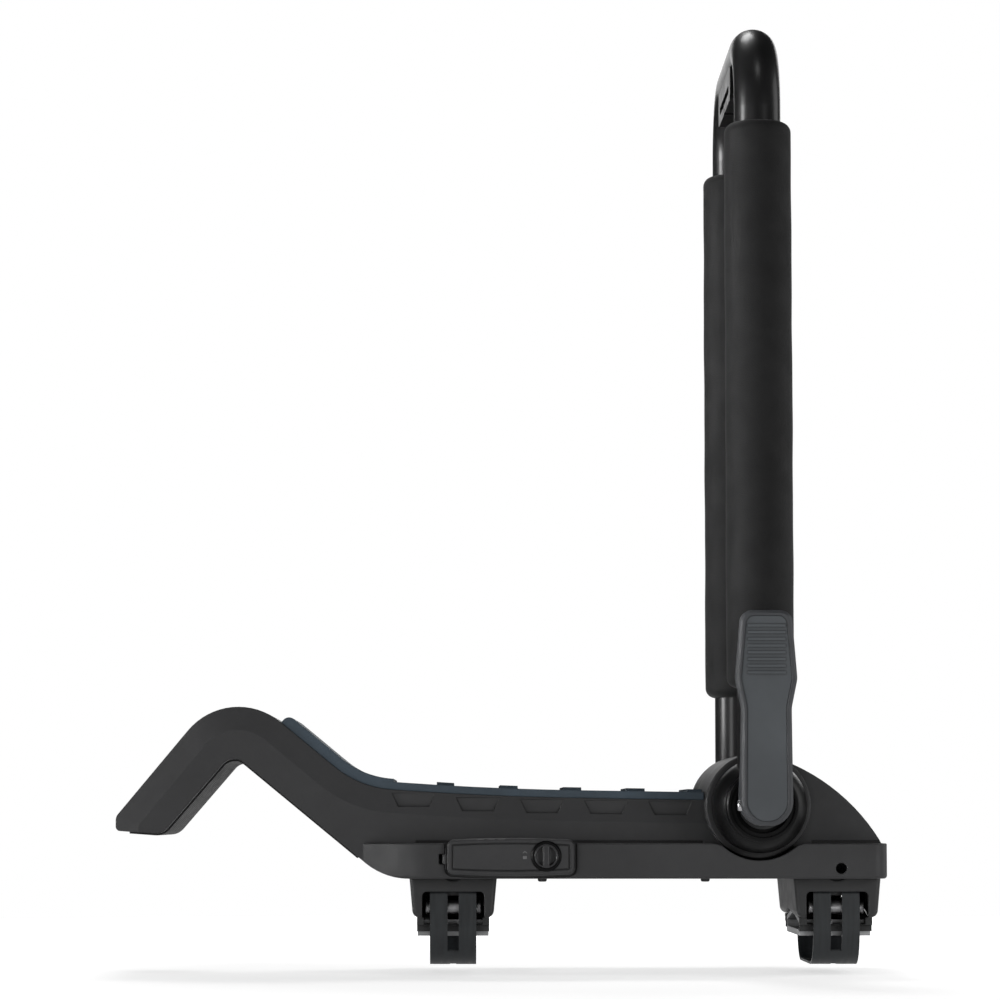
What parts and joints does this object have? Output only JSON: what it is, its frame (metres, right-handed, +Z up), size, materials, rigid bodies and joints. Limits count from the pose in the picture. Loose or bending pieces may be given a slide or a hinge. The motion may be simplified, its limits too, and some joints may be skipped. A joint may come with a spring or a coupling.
{
  "type": "j style kayak carrier",
  "caption": "Folding J-shaped roof carrier: swept cradle arm with tread pad, padded U-shaped upright on a cam-lever hinge, lock cover and strap feet that clamp a crossbar.",
  "frame": {"origin": "on the plane where the feet sit on the crossbar, midway between the two feet", "axes": "+X along the crossbar away from the arm's tip, +Y along the vehicle away from the lever and lock, +Z up"},
  "size_m": [0.4954, 0.2724, 0.6123],
  "materials": {
    "body_plastic": "matte",
    "lever_plastic": "matte",
    "lever_panel": "matte",
    "lock_plastic": "satin",
    "tread_rubber": "matte",
    "buffer_rubber": "matte",
    "pad_foam": "matte",
    "painted_tube": "gloss",
    "strap_steel": "satin",
    "bright_steel": "satin",
    "black_steel": "satin",
    "wedge_steel": "matte",
    "ring_metal": "matte",
    "saddle_aluminium": "satin"
  },
  "bodies": {
    "base": {"base_shell": "body_plastic", "arm_underside_cover": "body_plastic", "base_tray": "body_plastic", "tread_pad": "tread_rubber", "tray_screws": "bright_steel", "near_detent_ring": "ring_metal", "far_detent_ring": "ring_metal", "lock_cover_pin": "black_steel", "inner_foot_housing": "body_plastic", "inner_foot_screws": "bright_steel", "inner_bar_saddle": "saddle_aluminium", "inner_bar_buffers": "buffer_rubber", "outer_foot_housing": "body_plastic", "outer_foot_screws": "bright_steel", "outer_bar_saddle": "saddle_aluminium", "outer_bar_buffers": "buffer_rubber"},
    "upright": {"upright_tube": "painted_tube", "near_foam_pad": "pad_foam", "far_foam_pad": "pad_foam", "near_knuckle": "body_plastic", "far_knuckle": "body_plastic", "near_tooth_ring": "ring_metal", "far_tooth_ring": "ring_metal", "strap_guide": "body_plastic", "hinge_axle": "bright_steel", "lever_dowel": "bright_steel", "cam_seat": "black_steel", "axle_washer": "bright_steel", "axle_nut": "bright_steel"},
    "lever": {"cam_lever": "lever_plastic", "lever_inlay": "lever_panel"},
    "lock_flap": {"lock_cover": "body_plastic", "lock_sleeve": "lock_plastic"},
    "lock_barrel": {"lock_core": "lock_plastic", "lock_tongue": "bright_steel"},
    "inner_screw": {"inner_clamp_screw": "black_steel"},
    "inner_wedge": {"inner_clamp_wedge": "wedge_steel"},
    "inner_strap": {"inner_draw_yoke": "black_steel", "inner_strap_barrels": "bright_steel", "inner_clamp_strap": "strap_steel"},
    "outer_screw": {"outer_clamp_screw": "black_steel"},
    "outer_wedge": {"outer_clamp_wedge": "wedge_steel"},
    "outer_strap": {"outer_draw_yoke": "black_steel", "outer_strap_barrels": "bright_steel", "outer_clamp_strap": "strap_steel"}
  },
  "joints": [
    {"name": "upright_fold", "type": "hinge", "parent": "base", "child": "upright", "pos_m": [0.072, 0, 0.084], "axis": [0, 1, 0], "range_deg": [-87, 20]},
    {"name": "lever_flip", "type": "hinge", "parent": "upright", "child": "lever", "pos_m": [0.072, -0.1372, 0.084], "axis": [1, 0, 0], "range_deg": [0, 90]},
    {"name": "lock_cover_swing", "type": "hinge", "parent": "base", "child": "lock_flap", "pos_m": [-0.1285, -0.0884, 0.05], "axis": [0, 0, -1], "range_deg": [0, 75]},
    {"name": "lock_turn", "type": "hinge", "parent": "lock_flap", "child": "lock_barrel", "pos_m": [-0.0647, -0.09, 0.052], "axis": [0, 1, 0], "range_deg": [0, 90]},
    {"name": "inner_strap_travel", "type": "slide", "parent": "base", "child": "inner_strap", "axis": [0, 0, 1], "range_m": [-0.006, 0]},
    {"name": "inner_wedge_travel", "type": "slide", "parent": "base", "child": "inner_wedge", "axis": [0, 1, 0], "range_m": [0, 0.006]},
    {"name": "inner_screw_turn", "type": "hinge", "parent": "base", "child": "inner_screw", "pos_m": [-0.124, 0, 0.0441], "axis": [0, 1, 0], "range_deg": [-1728, 0]},
    {"name": "outer_strap_travel", "type": "slide", "parent": "base", "child": "outer_strap", "axis": [0, 0, 1], "range_m": [-0.006, 0]},
    {"name": "outer_wedge_travel", "type": "slide", "parent": "base", "child": "outer_wedge", "axis": [0, 1, 0], "range_m": [0, 0.006]},
    {"name": "outer_screw_turn", "type": "hinge", "parent": "base", "child": "outer_screw", "pos_m": [0.124, 0, 0.0441], "axis": [0, 1, 0], "range_deg": [-1728, 0]}
  ],
  "couplings": [
    {"joint": "inner_wedge_travel", "follows": "inner_strap_travel", "ratio": -1},
    {"joint": "inner_screw_turn", "follows": "inner_strap_travel", "rad_per_m": 5026.5},
    {"joint": "outer_wedge_travel", "follows": "outer_strap_travel", "ratio": -1},
    {"joint": "outer_screw_turn", "follows": "outer_strap_travel", "rad_per_m": 5026.5}
  ]
}
